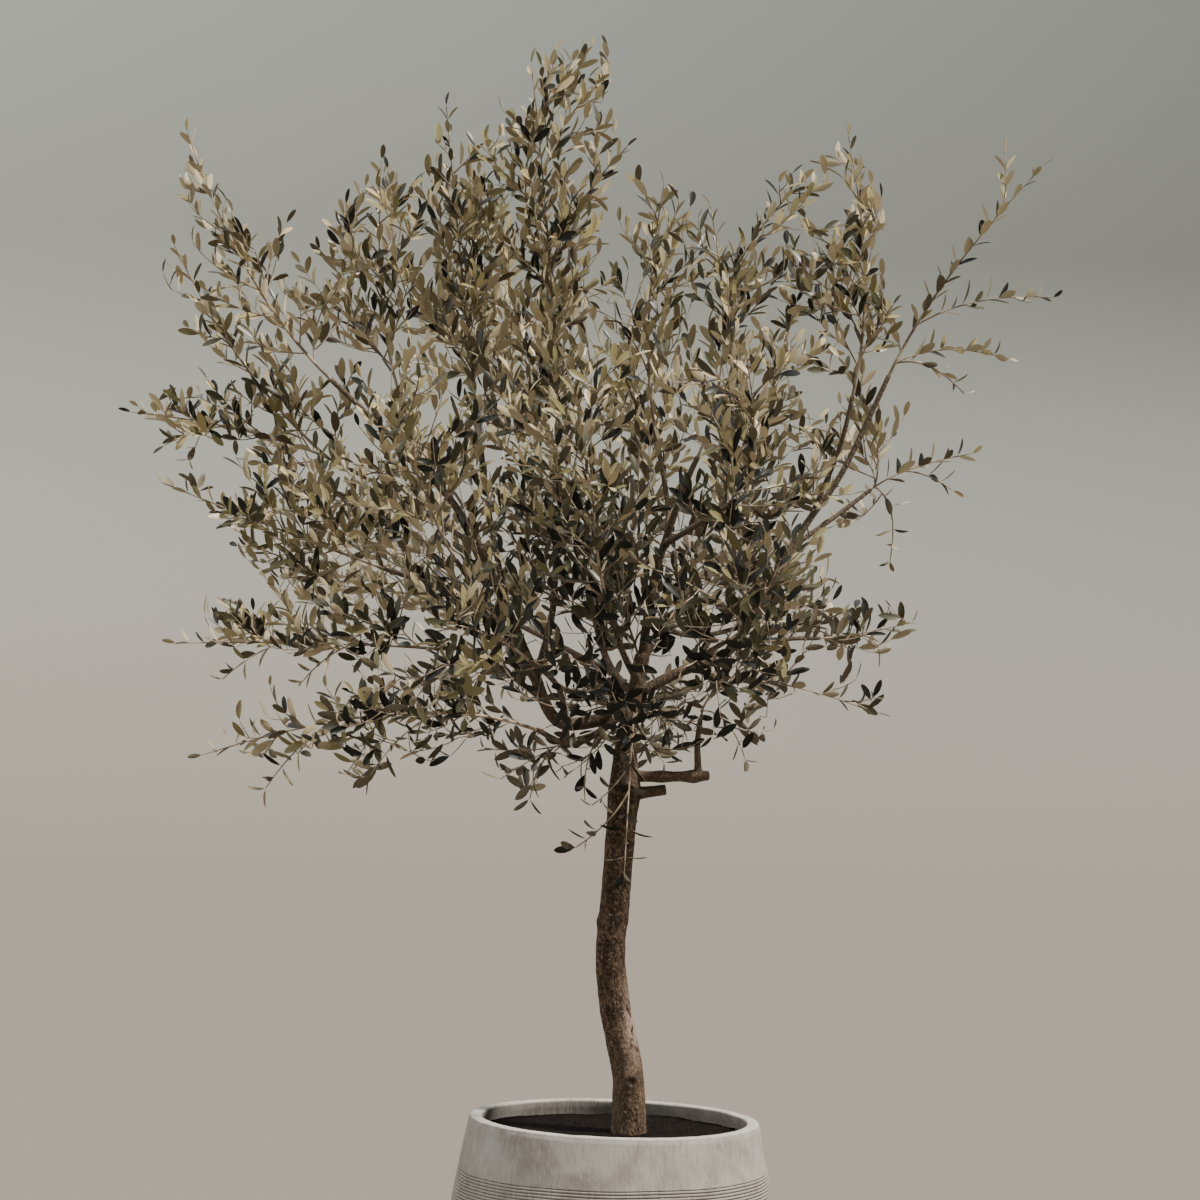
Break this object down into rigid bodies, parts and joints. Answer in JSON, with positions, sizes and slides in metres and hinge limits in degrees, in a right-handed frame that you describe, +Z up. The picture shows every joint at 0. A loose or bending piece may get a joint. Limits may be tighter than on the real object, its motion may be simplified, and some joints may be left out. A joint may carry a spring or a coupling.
{
  "type": "potted olive tree",
  "caption": "Young standard olive tree with a slim winding trunk and an open, spiky grey-green crown, in a pale grooved fibre stone planter.",
  "frame": {"origin": "middle of the planter's flat underside", "axes": "+Z up; -Y is the front, the side that the picture shows; +X is the picture's right"},
  "size_m": [2.048, 1.7187, 2.8423],
  "materials": {
    "pot": "matt, brushed with a pale wash",
    "soil": "rough, dark potting soil",
    "bark": "rough brown bark",
    "foliage": "grey-green leaves"
  },
  "bodies": {
    "root": {"pot": "pot", "soil": "soil", "trunk": "bark", "bough_left": "bark", "bough_leader": "bark", "bough_left_up": "bark", "bough_left_mid": "bark", "bough_left_crest": "bark", "bough_left_low": "bark", "bough_left_lower": "bark", "bough_front_left": "bark", "bough_low_left": "bark", "bough_front_low": "bark", "bough_back_left": "bark", "bough_back_left_low": "bark", "bough_back": "bark", "bough_front": "bark", "bough_right": "bark", "bough_right_up": "bark", "bough_right_mid": "bark", "bough_right_low": "bark", "bough_front_right_low": "bark", "bough_centre": "bark", "bough_inner": "bark", "bough_front_right": "bark", "bough_back_right": "bark", "bough_back_right_low": "bark", "bough_spur": "bark", "bough_spur_rise": "bark", "foliage_top": "foliage", "foliage_top_left": "foliage", "foliage_left_crest": "foliage", "foliage_left_spire": "foliage", "foliage_left_high": "foliage", "foliage_left_out": "foliage", "foliage_left_lower": "foliage", "foliage_low_left": "foliage", "foliage_low_hang": "foliage", "foliage_hang": "foliage", "foliage_low_core": "foliage", "foliage_core_left": "foliage", "foliage_core_right": "foliage", "foliage_core_back": "foliage", "foliage_spur": "foliage", "foliage_right_low": "foliage", "foliage_right_mid": "foliage", "foliage_right_spire": "foliage", "foliage_right_up": "foliage", "foliage_centre": "foliage", "foliage_inner": "foliage", "foliage_front": "foliage", "foliage_front_left": "foliage", "foliage_front_right": "foliage", "foliage_front_low": "foliage", "foliage_front_right_low": "foliage", "foliage_back": "foliage", "foliage_back_left": "foliage", "foliage_back_left_low": "foliage", "foliage_back_right": "foliage", "foliage_back_right_low": "foliage"}
  },
  "joints": []
}
